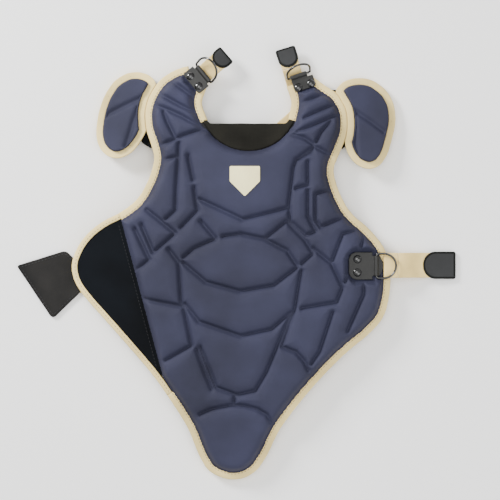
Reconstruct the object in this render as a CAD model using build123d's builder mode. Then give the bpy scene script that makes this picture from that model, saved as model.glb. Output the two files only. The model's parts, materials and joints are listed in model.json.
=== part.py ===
from build123d import *
from math import atan2, cos, degrees, radians, sin, tan
import os

# Baseball catcher's chest protector, lying on its back on a table. Millimetres, +Z up.
# X runs to the viewer's right, +Y towards the neck, +Z out of the chest face. The origin is on the
# table, under the middle of everything with the strap ends spread out flat.
# The body is a shallow dome: each layer of it lies between two offsets of one curved underside.

# ---------------------------------------------------------------- driving dimensions
DOME_HEIGHT = 28.0          # underside above the table at the crown
DOME_RADIUS_X = 900.0       # curve round the ribs
DOME_RADIUS_Y = 1500.0      # curve from throat to tail
CROWN_Y = 12.0              # where along Y the crown lies
SKY = 120.0                 # taller than anything here, for cutting

LINER = (0.0, 1.5)          # each layer's offsets above the underside
REBOUND = (1.5, 6.0)
PAD_FOOT = (6.0, 11.0)      # moulded foam: a low foot, then the raised blocks on it
PAD_BLOCK = (11.0, 17.0)
COVER = 1.0                 # face fabric over the moulded foam
EMBLEM = 0.8
THROAT = (1.5, 7.5)
WING_FOAM, WING_FACE = (1.5, 5.0), (5.0, 6.0)
TAPE = 1.0                  # binding tape
TAPE_WIDTH = 10.0           # how far the tape laps over each face
EDGE_GAP = 1.2              # tape thickness and a little air, from outline to foam
FOOT_INSET = 10.5           # the foot starts where the tape stops
BLOCK_INSET = 15.5          # the raised blocks start here
SEAM_FOOT_GAP, SEAM_BLOCK_GAP = 1.5, 6.0
THROAT_FOOT_GAP, THROAT_BLOCK_GAP = 0.3, 5.0
GROOVE = 4.5                # width of the channels between raised blocks, at the cover

SEAT = REBOUND[1] + COVER   # offset of the bare cover that the buckle tabs sit on
LEATHER = 1.2               # tabs are two thicknesses of it, looped round the ring's bar
WIRE = 2.6                  # ring wire diameter
RING_RADIUS = 14.7          # centreline of the ring's round end
RING_LEG = 9.0              # straight leg between bar and round end
RING_CORNER = 3.0
BAR_AIR = 0.25
RIVET_PITCH = 16.0
RIVET_HEAD = (5.0, 2.2)     # radius, height
RIVET_SHANK, RIVET_HOLE = 2.0, 2.1
RIVET_FOOT, RIVET_FOOT_RADIUS = 0.9, 3.0      # flat foot under the backing plate
WEBBING = 1.4
SHOULDER_STRAP, WAIST_STRAP = 22.0, 30.0
TIP = 3.6                   # moulded strap tips
HOOK = 1.0                  # hook tape on a tip

CAP_RIM = 4.6               # shoulder caps: top of the rim foam, above the cap's own tilted underside
CAP_PAD = 11.5              # top of their cover
CAP_TAPE_WIDTH = 7.5
CAP_AIR = 0.8               # gap between a cap and the shoulder's edge

CAP_STEP = 1.0              # a cap's underside above the shoulder's, at the fold
TABLE_AIR = 0.3
CAP_BACKING = 1.2
WEB = 1.2                   # gusset fabric
WING_TAPE_WIDTH = 7.5
TIP_SOLID = 3.0             # moulding beyond the strap's cut end
ROUND_END = 0.47              # corner radius of a tip's round end, as a share of its width
SLOT_AIR = 0.1
SEAM_GAP = 1.0

PATCH_SHEET = 1.2           # back patch, a lining and a face with the straps sewn between


# ---------------------------------------------------------------- outlines in plan
BODY = [(-62, 235), (-76, 230), (-90, 221), (-99, 210), (-106, 197), (-110, 181),
        (-109, 160), (-102, 141), (-97.5, 125), (-103, 103), (-117, 76), (-138, 60),
        (-160, 50), (-179, 35), (-192, 17), (-199, -4), (-194, -25), (-180, -44),
        (-150, -77), (-121, -110), (-98, -137), (-73, -174), (-57, -200), (-47, -228),
        (-34, -252), (-10, -261.5), (9, -260), (25, -250), (38, -230),
        (50, -202), (76, -167), (102, -137), (131, -108), (160, -85), (177, -66),
        (183.5, -40), (185, -12), (179, 16), (160, 40), (135, 60), (122, 85),
        (114.5, 111), (124, 132), (133, 154), (133, 182), (121, 203), (108, 211), (95, 220.5),
        (80, 231), (55, 240), (10, 244), (-35, 241)]
ARC_SHARE = 0.45            # an outline's arcs take this share of the shorter straight on each side
NECK = [(-28, 280), (-33, 216), (-42.5, 191), (-33, 167), (60.5, 167), (66.5, 192), (55, 224), (45, 280)]
NECK_SOFTEN = {1: 30, 2: 18, 3: 4, 4: 4, 5: 25, 6: 30}
THROAT_CENTRE, THROAT_RADIUS = (14.5, 192.4), 59.0
THROAT_LIMIT = 171.0        # the throat pad fills the neck's foot up to here
SEAM_TOP, SEAM_END = (-139.5, 58), (-88, -136)      # where the black wing joins the blue face

LEFT_CAP = [(-97, 217), (-105, 225), (-117, 229), (-131, 228), (-147, 219), (-159, 201), (-166, 180),
            (-169, 155), (-165, 138), (-154, 127), (-141, 125), (-127, 131), (-117, 143), (-109, 157),
            (-104, 180), (-100, 200)]
RIGHT_CAP = [(119, 207), (121, 196), (128, 176), (130, 158), (131, 139), (136, 127), (145, 117),
             (158, 112), (171, 115.5), (181, 129), (186, 146), (191.5, 168), (190, 189), (181, 207),
             (164, 219.5), (146, 222.3), (129, 218)]
CAP_FOLDS = {"left_cap": ((-97.5, 215), (-108.5, 158)), "right_cap": ((120, 203), (130, 152))}  # in plan

EMBLEM_AT, EMBLEM_SIZE = (10, 97), 36.0
CHANNELS = [  # the deepest channels of the moulded face
    [(-106, 170), (-80, 181), (-60, 172), (-38, 158)],
    [(-97, 196), (-76, 192), (-50, 179), (-40, 176)],
    [(-92, 139), (-75, 146), (-52, 156)],
    [(-69, 144), (-69, 120), (-72, 64), (-84, 51), (-106, 64)],
    [(-53, 130), (-47, 62), (-72, 36), (-84, 51)],
    [(-47, 74), (-16, 61), (7, 51), (43, 60), (62, 66), (67, 112), (71, 122), (89, 132)],
    [(-44, 50), (-25, 29), (5, 33), (33, 28), (62, 48)],
    [(-25, 29), (-62, 5), (-36, -23), (4, -34), (44, -27), (74, -4), (33, 28)],
    [(-72, 36), (-98, 12), (-112, 44)], [(-98, 12), (-106, -8)],
    [(-62, 5), (-66, -47), (-53, -98), (-84, -116)], [(-66, -49), (-112, -43)],
    [(-66, -49), (-44, -70), (5, -87), (41, -79), (64, -59), (76, -3)],
    [(-47, -101), (-27, -150), (0, -158), (24, -152), (46, -106), (64, -59)],
    [(0, -158), (-2, -169)], [(-50, -184), (-30, -174), (-2, -169), (25, -174), (46, -190)],
    [(62, 48), (82, 28), (93, 12), (76, -3)], [(93, 12), (112, -1), (126, -29), (118, -48), (66, -55)],
    [(62, 66), (63, 49), (84, 33), (95, 38)], [(84, 128), (84, 55), (97, 40), (128, 54)],
    [(112, -1), (126, 34), (142, 40)], [(118, -48), (98, -105), (88, -128)],
    [(151, 34), (145, 12), (126, -29)], [(156, -20), (150, -40), (128, -86)],
    [(68, 152), (92, 140), (108, 128)], [(70, 156), (97, 168), (124, 178)], [(94, 143), (112, 172)],
    [(76, 173), (122, 190)], [(73, 190), (112, 205)]]

PATCH = [(-265.3, -4), (-206, 14.5), (-172, -20), (-222, -68.5)]
PATCH_RIM = 4.0
# centrelines of the straps under the shell, and how many other straps each lies on
RUN_LEAD, RUN_RADIUS = 17.0, 24.0        # straight stretch behind each shoulder, and the turns after it
WAIST_RUN, WAIST_LEVEL = [(150, -4), (60, -6), (-40, -13), (-130, -20), (-196, -22)], 0
LEFT_RUN, LEFT_LEVEL = [(-88, 110), (-108, 50), (-156, -14)], 1
RIGHT_RUN, RIGHT_LEVEL = [(26, 134), (-94, 66)], 2
ANCHOR = [(-80, 22.2), (-92, 17.5), (-103, 8.2), (-112, 3.4)]       # X and Z of a short strap
ANCHOR_FOOT = (-128, 3.4)
ANCHOR_Y, ANCHOR_WIDTH = -19.0, 20.0
GUSSETS = {
    "left_cap": [(-92, 212), (-102, 214), (-109.5, 187), (-113, 166), (-115, 150), (-114, 144),
                 (-103, 137), (-98, 141), (-101, 160), (-101, 182), (-97, 200)],
    "right_cap": [(113, 208), (121, 208), (131, 192), (136, 175), (136.5, 158), (133, 141), (127, 136),
                  (122, 142), (126, 156), (125.5, 180), (116, 198)],
}


def on_dome(x, y, offset, heading):
    """Plane touching the dome at an offset above its underside, its X along a compass heading."""
    slope_x, slope_y = -x / DOME_RADIUS_X, -(y - CROWN_Y) / DOME_RADIUS_Y
    x, y = x + slope_x * offset, y + slope_y * offset
    height = DOME_HEIGHT - x * x / (2 * DOME_RADIUS_X) - (y - CROWN_Y) ** 2 / (2 * DOME_RADIUS_Y)
    east, north = cos(radians(heading)), sin(radians(heading))
    normal = Vector(-slope_x, -slope_y, 1).normalized()
    return Plane(origin=Vector(x, y, height) + normal * offset,
                 x_dir=(east, north, slope_x * east + slope_y * north), z_dir=normal)


def upright(x, y, heading):
    """Upright plane through a point of the table: local X along a heading, local Y upwards."""
    east, north = cos(radians(heading)), sin(radians(heading))
    return Plane(origin=(x, y, 0), x_dir=(east, north, 0), z_dir=(north, -east, 0))


def dome_slab(low, high):
    """Everything between two offsets of the dome's underside."""
    half = 290.0
    sweep_x, sweep_y = degrees(half / DOME_RADIUS_X), degrees(half / DOME_RADIUS_Y)
    hub = DOME_HEIGHT - DOME_RADIUS_X
    with BuildPart() as slab:
        with BuildSketch(Plane.XZ.offset(-CROWN_Y)):
            with BuildLine():
                top = CenterArc((0, hub), DOME_RADIUS_X + high, 90 - sweep_x, 2 * sweep_x)
                foot = CenterArc((0, hub), DOME_RADIUS_X + low, 90 - sweep_x, 2 * sweep_x)
                Line(top @ 0, foot @ 0)
                Line(top @ 1, foot @ 1)
            make_face()
        spin = Axis((0, CROWN_Y, DOME_HEIGHT - DOME_RADIUS_Y), (1, 0, 0))
        revolve(axis=spin, revolution_arc=2 * sweep_y)
    return slab.part.rotate(spin, -sweep_y)


def layer(outline, low, high):
    """One layer of the dome with an outline's plan shape."""
    with BuildPart() as sheet:
        with BuildSketch():
            add(outline)
        extrude(amount=SKY)
        add(dome_slab(low, high), mode=Mode.INTERSECT)
    return sheet.part


def beside(start, end, side, gap=0.0):
    """Half of the plan: left of a line (side 1) or right of it (side -1), from a gap off the line."""
    heading = degrees(atan2(end[1] - start[1], end[0] - start[0]))
    with BuildSketch() as region:
        with Locations(Location((start[0], start[1], 0), (0, 0, heading))):
            with Locations((0, side * gap)):
                Rectangle(1600, 800, align=(Align.CENTER, Align.MIN if side > 0 else Align.MAX))
    return region.sketch


def corner_radius(before, corner, after):
    """Radius of the tangent arc that takes up most of the shorter straight beside a corner."""
    into, out = Vector(*corner) - Vector(*before), Vector(*after) - Vector(*corner)
    turn = radians(into.get_angle(out))
    return ARC_SHARE * min(into.length, out.length) / tan(turn / 2)


def smooth_outline(points, drawn_in=0.0):
    """Closed outline of straights joined by tangent arcs, drawn in (or let out, if negative)."""
    ahead = points[1:] + points[:1]
    behind = points[-1:] + points[:-1]
    radii = [corner_radius(*corner) for corner in zip(behind, points, ahead)]
    with BuildSketch() as shape:
        with BuildLine():
            FilletPolyline(*points, radius=radii, close=True)
        make_face()
        if drawn_in:
            offset(amount=-drawn_in, kind=Kind.ARC)
    return shape.sketch


with BuildSketch() as neck_outline:
    with BuildLine():
        Polyline(*NECK, close=True)
    make_face()
    for corner, radius in NECK_SOFTEN.items():
        fillet(neck_outline.vertices().sort_by_distance((*NECK[corner], 0))[0], radius)


def station(x, y, heading, **sizes):
    """A buckle station: its tab's base on the plan, the way it points, and the sizes of its parts."""
    east, north = cos(radians(heading)), sin(radians(heading))
    middle = sizes["plate"] / 2
    seat = on_dome(x + middle * east, y + middle * north, SEAT, heading)
    seat = Plane(origin=seat.from_local_coords((-middle, 0, 0)), x_dir=seat.x_dir, z_dir=seat.z_dir)
    bar = seat.from_local_coords((sizes["reach"], sizes.get("shift", 0), LEATHER + BAR_AIR + WIRE / 2))
    return dict(seat=seat, bar=bar, heading=heading, **sizes)


STATIONS = {
    "left_shoulder": station(-54.8, 213.7, 39, plate=15.5, width=31, base=3.0, reach=19.5, loop=24,
                             rivets=5.7, end=11, lift=47, under=-2.4, strap=SHOULDER_STRAP),
    "right_shoulder": station(83.3, 208.0, 110, plate=14, width=27, base=3.0, reach=18, loop=20, shift=3,
                              rivets=4.6, end=10, lift=68, under=-2.4, strap=SHOULDER_STRAP),
    "side": station(134, -4, 0, plate=29, width=33, base=10.0, reach=33.5, loop=24,
                    rivets=10.5, end=90, lift=12, under=-1.5, strap=WAIST_STRAP),
}


def region(drawn_in, seam=None, throat=None, ends=0.0):
    """Plan of the shell (seam gap >= 0) or wing (seam gap < 0), its edge drawn in by an amount."""
    with BuildSketch() as plan:
        add(smooth_outline(BODY, drawn_in))
        with BuildSketch(mode=Mode.PRIVATE) as notch:
            add(neck_outline.sketch)
            if drawn_in:
                offset(amount=drawn_in, kind=Kind.ARC)
        add(notch.sketch, mode=Mode.SUBTRACT)
        if seam is not None:
            add(beside(SEAM_TOP, SEAM_END, 1 if seam >= 0 else -1, abs(seam)), mode=Mode.INTERSECT)
        if throat is not None:
            with BuildSketch(mode=Mode.PRIVATE) as disc:
                with Locations(THROAT_CENTRE):
                    Circle(THROAT_RADIUS + throat)
                with Locations((0, THROAT_LIMIT)):
                    Rectangle(400, 200, align=(Align.CENTER, Align.MAX), mode=Mode.INTERSECT)
            add(disc.sketch, mode=Mode.SUBTRACT)
        for name in ("left_shoulder", "right_shoulder"):
            sizes = STATIONS[name]
            stop = sizes["seat"].from_local_coords((sizes["end"] - ends, 0, 0))
            with Locations(Location((stop.X, stop.Y, 0), (0, 0, sizes["heading"]))):
                Rectangle(90, 64, align=(Align.MIN, Align.CENTER), mode=Mode.SUBTRACT)
    return plan.sketch


def tab_zone(name, grow):
    """The flat ground of a buckle: tab, ring and what lies under them."""
    sizes = STATIONS[name]
    corner = sizes["seat"].from_local_coords((-grow, 0, 0))
    with BuildSketch() as zone:
        with Locations(Location((corner.X, corner.Y, 0), (0, 0, sizes["heading"]))):
            Rectangle(70 + grow, sizes["width"] + 2 * grow, align=(Align.MIN, Align.CENTER))
    return zone.sketch


def channels(width):
    """Plan of the channels of the moulded face."""
    with BuildSketch() as net:
        for run in CHANNELS:
            for start, end in zip(run, run[1:]):
                middle = ((start[0] + end[0]) / 2, (start[1] + end[1]) / 2)
                length = ((end[0] - start[0]) ** 2 + (end[1] - start[1]) ** 2) ** 0.5
                turn = degrees(atan2(end[1] - start[1], end[0] - start[0]))
                with Locations(Location((middle[0], middle[1], 0), (0, 0, turn))):
                    SlotCenterToCenter(length, width)
    return net.sketch


def rivet_holes(part, radius=RIVET_HOLE):
    """A part with the rivets' holes cut through it."""
    with BuildPart() as holed:
        add(part)
        for sizes in STATIONS.values():
            with Locations(sizes["seat"]):
                with Locations((sizes["rivets"], RIVET_PITCH / 2), (sizes["rivets"], -RIVET_PITCH / 2)):
                    Cylinder(radius, 40, mode=Mode.SUBTRACT)
    return holed.part


os.makedirs("parts", exist_ok=True)


def save(part, name):
    """Write one sub-component as a STEP file."""
    part.label = name
    export_step(part, f"parts/{name}.step")



# ---------------------------------------------------------------- shell: layers
back_liner = rivet_holes(layer(region(EDGE_GAP, seam=0, ends=EDGE_GAP), *LINER))
rebound_foam = rivet_holes(layer(region(EDGE_GAP, seam=0, throat=0.3, ends=EDGE_GAP), *REBOUND))


def padding(foot_gap, block_gap, channel):
    """Foot and raised blocks of the moulded face, drawn in by gaps from the tape's inner edge."""
    with BuildSketch() as foot:
        add(region(FOOT_INSET + foot_gap, seam=SEAM_FOOT_GAP + foot_gap, throat=THROAT_FOOT_GAP + foot_gap,
                   ends=foot_gap))
        for name in STATIONS:
            add(tab_zone(name, 2.0 + foot_gap), mode=Mode.SUBTRACT)
    with BuildSketch() as blocks:
        add(region(BLOCK_INSET + block_gap, seam=SEAM_BLOCK_GAP + block_gap,
                   throat=THROAT_BLOCK_GAP + block_gap, ends=block_gap))
        for name in STATIONS:
            add(tab_zone(name, 6.0 + block_gap), mode=Mode.SUBTRACT)
        add(channels(channel), mode=Mode.SUBTRACT)
    return foot.sketch, blocks.sketch


foam_foot, foam_blocks = padding(COVER, COVER, GROOVE + 2 * COVER)
cover_blocks = padding(0, 0, GROOVE)[1]
with BuildPart() as molded_foam:
    add(layer(foam_foot, *PAD_FOOT))
    add(layer(foam_blocks, PAD_BLOCK[0] - 1, PAD_BLOCK[1]))
with BuildSketch() as buckle_grounds:
    for name in STATIONS:
        add(tab_zone(name, 2.0))
with BuildPart() as front_cover:
    add(layer(region(FOOT_INSET, seam=SEAM_FOOT_GAP, throat=THROAT_FOOT_GAP, ends=EDGE_GAP),
              REBOUND[1], PAD_FOOT[1] + COVER))
    add(layer(buckle_grounds.sketch, SEAT, PAD_FOOT[1] + 2 * COVER), mode=Mode.SUBTRACT)
    add(layer(cover_blocks, PAD_BLOCK[0], PAD_BLOCK[1] + COVER))
    add(molded_foam.part, mode=Mode.SUBTRACT)
save(back_liner, "back_liner")
save(rebound_foam, "rebound_foam")
save(molded_foam.part, "molded_foam")
save(rivet_holes(front_cover.part), "front_cover")


# ---------------------------------------------------------------- shell: emblem, throat, binding
with BuildSketch() as home_plate:
    with Locations(EMBLEM_AT):
        half = EMBLEM_SIZE / 2
        Polygon((-half, half), (half, half), (half, 0), (0, -half), (-half, 0), align=None)
        fillet(home_plate.vertices(), 1.5)
save(layer(home_plate.sketch, PAD_BLOCK[1] + COVER, PAD_BLOCK[1] + COVER + EMBLEM), "chest_emblem")

with BuildSketch() as throat_plan:
    with Locations(THROAT_CENTRE):
        Circle(THROAT_RADIUS)
    add(region(0.3), mode=Mode.INTERSECT)
    with Locations((0, THROAT_LIMIT - 0.3)):
        Rectangle(400, 60, align=(Align.CENTER, Align.MAX), mode=Mode.INTERSECT)
save(layer(throat_plan.sketch, *THROAT), "throat_pad")


def binding(strip, core, foot, top):
    """Tape folded round an edge: a strip between two offsets, hollowed by the layers it wraps."""
    with BuildPart() as tape:
        add(layer(strip, foot - TAPE, top + TAPE))
        add(layer(core, foot, top), mode=Mode.SUBTRACT)
    return tape.part


with BuildSketch() as shell_strips:
    add(region(0, seam=0, throat=0))
    add(region(TAPE_WIDTH, seam=0, throat=0), mode=Mode.SUBTRACT)
with BuildSketch() as upper:
    add(shell_strips.sketch)
    with Locations((10, THROAT_LIMIT)):
        Rectangle(140, 222 - THROAT_LIMIT, align=(Align.CENTER, Align.MIN), mode=Mode.INTERSECT)
with BuildSketch() as outer:
    add(shell_strips.sketch)
    with Locations((10, 222)):
        Rectangle(140, 80, align=(Align.CENTER, Align.MAX), mode=Mode.SUBTRACT)
tape_core = region(TAPE, ends=-20)
neck_strips = sorted([face for face in upper.sketch.faces() if face.area > 100], key=lambda f: f.center().X)
rim_strips = sorted(outer.sketch.faces(), key=lambda f: f.area)[-2:]
for strip, name in zip(neck_strips + rim_strips,
                       ("left_neck_binding", "right_neck_binding", "left_arm_binding", "lower_binding")):
    save(rivet_holes(binding(strip, tape_core, LINER[0], REBOUND[1])), name)

# ---------------------------------------------------------------- wing
wing_plan = region(EDGE_GAP, seam=-SEAM_GAP)
save(layer(wing_plan, *LINER), "wing_lining")
save(layer(wing_plan, *WING_FOAM), "wing_foam")
save(layer(wing_plan, *WING_FACE), "wing_face")
with BuildSketch() as wing_strip:
    add(region(0, seam=-SEAM_GAP))
    add(region(WING_TAPE_WIDTH, seam=-SEAM_GAP), mode=Mode.SUBTRACT)
save(binding(wing_strip.sketch, region(TAPE), LINER[0], WING_FACE[1]), "wing_binding")

# ---------------------------------------------------------------- shoulder caps and their gussets


def underside(x, y):
    """Height of the dome's underside."""
    return DOME_HEIGHT - x * x / (2 * DOME_RADIUS_X) - (y - CROWN_Y) ** 2 / (2 * DOME_RADIUS_Y)


def cap_plane(fold, outline):
    """Plane under a cap: it leaves the shoulder at its fold and tilts until its edge meets the table."""
    near, far = (Vector(x, y, underside(x, y) + CAP_STEP) for x, y in fold)
    along = (far - near).normalized()
    outward = Vector(along.Y, -along.X, 0).normalized()
    if outward.dot(Vector(sum(x for x, y in outline), 0, 0)) < 0:
        outward = -outward
    slopes = []
    for x, y in outline:
        reach = (Vector(x, y, 0) - near).dot(outward)
        if reach > 20:
            level = near.Z + (Vector(x, y, 0) - near).dot(along) * along.Z
            slopes.append((level - TAPE - TABLE_AIR) / reach)
    down = Vector(outward.X, outward.Y, -min(slopes))
    normal = down.cross(along)
    normal = normal if normal.Z > 0 else -normal
    return Plane(origin=near, x_dir=along, z_dir=normal)


def cap_layer(outline, plane, low, high):
    """One layer of a shoulder cap."""
    with BuildPart(plane.offset(low)) as slab:
        Box(500, 500, high - low, align=(Align.CENTER, Align.CENTER, Align.MIN))
    with BuildPart() as sheet:
        with BuildSketch():
            add(outline)
        extrude(amount=SKY)
        add(slab.part, mode=Mode.INTERSECT)
    return sheet.part


for name, outline in (("left_cap", LEFT_CAP), ("right_cap", RIGHT_CAP)):

    def drawn_in(amount):
        """Plan of the cap, drawn in by an amount, clear of the shoulder's edge."""
        with BuildSketch() as smaller:
            add(smooth_outline(outline, amount))
            add(smooth_outline(BODY, -CAP_AIR - amount), mode=Mode.SUBTRACT)
        return smaller.sketch.faces().sort_by(SortBy.AREA)[-1]

    tilt = cap_plane(CAP_FOLDS[name], outline)
    save(cap_layer(drawn_in(EDGE_GAP), tilt, 0, CAP_BACKING), f"{name}_backing")
    with BuildPart() as foam:
        add(cap_layer(drawn_in(EDGE_GAP), tilt, CAP_BACKING, CAP_RIM))
        add(cap_layer(drawn_in(CAP_TAPE_WIDTH + 0.5 + COVER), tilt, CAP_RIM - 0.5, CAP_PAD - COVER))
    save(foam.part, f"{name}_foam")
    with BuildPart() as cover:
        add(cap_layer(drawn_in(CAP_TAPE_WIDTH + 0.5), tilt, CAP_RIM, CAP_PAD))
        add(foam.part, mode=Mode.SUBTRACT)
    save(cover.part, f"{name}_cover")
    with BuildSketch() as cap_strip:
        add(drawn_in(0))
        add(drawn_in(CAP_TAPE_WIDTH), mode=Mode.SUBTRACT)
    with BuildPart() as cap_tape:
        add(cap_layer(cap_strip.sketch, tilt, -TAPE, CAP_RIM + TAPE))
        add(cap_layer(drawn_in(TAPE), tilt, 0, CAP_RIM), mode=Mode.SUBTRACT)
    save(cap_tape.part, f"{name}_binding")
    with BuildSketch() as web:
        Polygon(*GUSSETS[name], align=None)
    save(layer(web.sketch, -TAPE - WEB, -TAPE), f"{name}_gusset")

# ---------------------------------------------------------------- buckle stations


def ring(plane):
    """D-ring: round wire with a straight bar on the plane's Y axis and its round end along X."""
    side, corner = RING_RADIUS, RING_CORNER
    with BuildPart() as wire:
        with BuildLine(plane) as path:
            bar = Line((0, corner - side), (0, side - corner))
            CenterArc((corner, side - corner), corner, 180, -90)
            Line((corner, side), (RING_LEG, side))
            CenterArc((RING_LEG, 0), side, 90, -180)
            Line((RING_LEG, -side), (corner, -side))
            CenterArc((corner, corner - side), corner, 270, -90)
        with BuildSketch(Plane(origin=bar @ 0.5, z_dir=bar % 0.5)):
            Circle(WIRE / 2)
        sweep(path=path.line)
    return wire.part


for name, sizes in STATIONS.items():
    seat, shift = sizes["seat"], sizes.get("shift", 0)
    length, width, reach = sizes["plate"], sizes["width"], sizes["reach"]
    bar_height = LEATHER + BAR_AIR + WIRE / 2
    with BuildPart() as tab:
        with BuildSketch(seat):
            with Locations((length / 2, 0)):
                Rectangle(length, width)
        extrude(amount=2 * LEATHER)
        fillet(tab.edges().filter_by(Axis(seat.origin, seat.z_dir)).sort_by(
            lambda e: seat.to_local_coords(e.center()).X)[:2], sizes["base"])
        with BuildSketch(seat):
            with Locations((length - 4, shift)):
                Rectangle(reach - length + 4, sizes["loop"], align=(Align.MIN, Align.CENTER))
        extrude(amount=2 * LEATHER)
        tube = Plane(origin=seat.from_local_coords((reach, shift, bar_height)), x_dir=seat.x_dir,
                     z_dir=seat.y_dir)
        with BuildSketch(tube.offset(-sizes["loop"] / 2)):
            Circle(bar_height)
        extrude(amount=sizes["loop"])
        with BuildSketch(tube.offset(-30)):
            Circle(WIRE / 2 + BAR_AIR)
        extrude(amount=60, mode=Mode.SUBTRACT)
    save(rivet_holes(tab.part), f"{name}_tab")

    with BuildPart() as washer:
        with BuildSketch(seat.offset(sizes["under"] - SEAT)):
            with Locations((sizes["rivets"], 0)):
                Rectangle(9, RIVET_PITCH + 9)
        extrude(amount=1.2)
    save(rivet_holes(washer.part), f"{name}_backing_plate")

    with BuildPart() as rivets:
        for side in (-1, 1):
            head_radius, head_height = RIVET_HEAD
            curve = (head_radius ** 2 + head_height ** 2) / (2 * head_height)
            foot = sizes["under"] - SEAT
            top = 2 * LEATHER
            spot = seat.from_local_coords((sizes["rivets"], side * RIVET_PITCH / 2, 0))
            upright_seat = Plane(origin=spot, x_dir=seat.x_dir, z_dir=-seat.y_dir)
            with BuildSketch(upright_seat) as profile:
                with BuildLine():
                    shoulder_x = head_radius * 0.55
                    rise = (curve ** 2 - shoulder_x ** 2) ** 0.5 - curve + head_height
                    crown = ThreePointArc((head_radius, top), (shoulder_x, top + rise),
                                          (0, top + head_height))
                    Polyline(crown @ 1, (0, foot - RIVET_FOOT), (RIVET_FOOT_RADIUS, foot - RIVET_FOOT),
                             (RIVET_FOOT_RADIUS, foot), (RIVET_SHANK, foot), (RIVET_SHANK, top), crown @ 0)
                make_face()
            revolve(axis=Axis(spot, seat.z_dir))
    save(rivets.part, f"{name}_rivets")

    lift = radians(sizes["lift"])
    ring_x = seat.x_dir * cos(lift) + seat.z_dir * sin(lift)
    save(ring(Plane(origin=sizes["bar"], x_dir=ring_x, z_dir=ring_x.cross(seat.y_dir))), f"{name}_ring")

# ---------------------------------------------------------------- straps under the shell


def ribbon(points, width, level, radius=RUN_RADIUS):
    """Flat run of webbing, straights joined by arcs in plan, lying on a number of others."""
    low = PATCH_SHEET + level * WEBBING
    with BuildPart() as run:
        with BuildSketch(Plane.XY.offset(low)):
            with BuildLine() as middle:
                FilletPolyline(*points, radius=radius)
            trace(middle.line, width)
        extrude(amount=WEBBING)
    return run.part


def strap_profile(plane, points, width, corner=None):
    """Webbing seen edge-on along a curve of an upright plane, as wide as the strap."""
    with BuildPart() as run:
        with BuildSketch(plane):
            with BuildLine() as middle:
                Spline(*points)
                if corner is not None:
                    Line(points[-1], corner)
            trace(middle.line, WEBBING)
        extrude(amount=width / 2, both=True)
    return run.part


# where each strap is cut at its folding line: reach beyond the ring's bar and height above it
PEELS = {"left_shoulder": (17.0, -1.5), "right_shoulder": (10.0, -3.0), "side": (26.4, -4.6)}
RISES = {  # from the run under the shell up to the fold; heights above the bar, or above the table if +
    "left_shoulder": [(-27, None), (-24, None), (-6, -15.0), (5, -7.2), (12, -3.4), (17.0, -1.5)],
    "right_shoulder": [(-27, None), (-24, None), (-8, -13.0), (0, -8.2), (5, -5.0), (10.0, -3.0)],
}
STRAP_AT = {"left_shoulder": (-39.6, 226.0, 41), "right_shoulder": (68.5, 224.0, 107),
            "side": (167.5, -3.4, 0)}
LEVELS = {"left_shoulder": LEFT_LEVEL, "right_shoulder": RIGHT_LEVEL}
RUNS = {"left_shoulder": LEFT_RUN, "right_shoulder": RIGHT_RUN}

for name, (x, y, heading) in STRAP_AT.items():
    lane = upright(x, y, heading)
    bar_z = STATIONS[name]["bar"].Z
    width = STATIONS[name]["strap"]
    if name == "side":
        bend = [(-20, 1.9), (8, 1.9), (20.5, 4.0), (25.2, 9.6), (22.5, 15.2), (17.0, 17.05), (10.6, 18.2)]
        back = [(10.6, 20.0), (17.0, 18.9), (PEELS[name][0], bar_z + PEELS[name][1])]
        with BuildPart() as strap:
            add(ribbon(WAIST_RUN, width, WAIST_LEVEL))
            add(strap_profile(lane, bend, width))
            with BuildSketch(lane):
                with BuildLine() as fold:
                    CenterArc((10.6, 19.1), 0.9, 90, 180)
                trace(fold.line, WEBBING)
            extrude(amount=width / 2, both=True)
            add(strap_profile(lane, back, width))
        save(strap.part, "waist_strap")
    else:
        foot = PATCH_SHEET + (LEVELS[name] + 0.5) * WEBBING
        points = [(s, foot if h is None else bar_z + h) for s, h in RISES[name]]
        start = lane.from_local_coords((points[0][0], 0))
        lead = lane.from_local_coords((points[0][0] - RUN_LEAD, 0))
        with BuildPart() as strap:
            with BuildSketch(lane):
                with BuildLine() as middle:
                    Line(points[0], points[1])
                    arrive = Vector(points[-1][0] - points[-2][0], points[-1][1] - points[-2][1])
                    Spline(*points[1:], tangents=((1, 0), arrive.normalized()))
                trace(middle.line, WEBBING)
            extrude(amount=width / 2, both=True)
            add(ribbon([(start.X, start.Y), (lead.X, lead.Y)] + RUNS[name], width, LEVELS[name]))
        save(strap.part, f"{name}_strap")

anchor_lane = upright(0, ANCHOR_Y, 0)
save(strap_profile(anchor_lane, ANCHOR, ANCHOR_WIDTH, ANCHOR_FOOT), "waist_anchor_strap")

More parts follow.
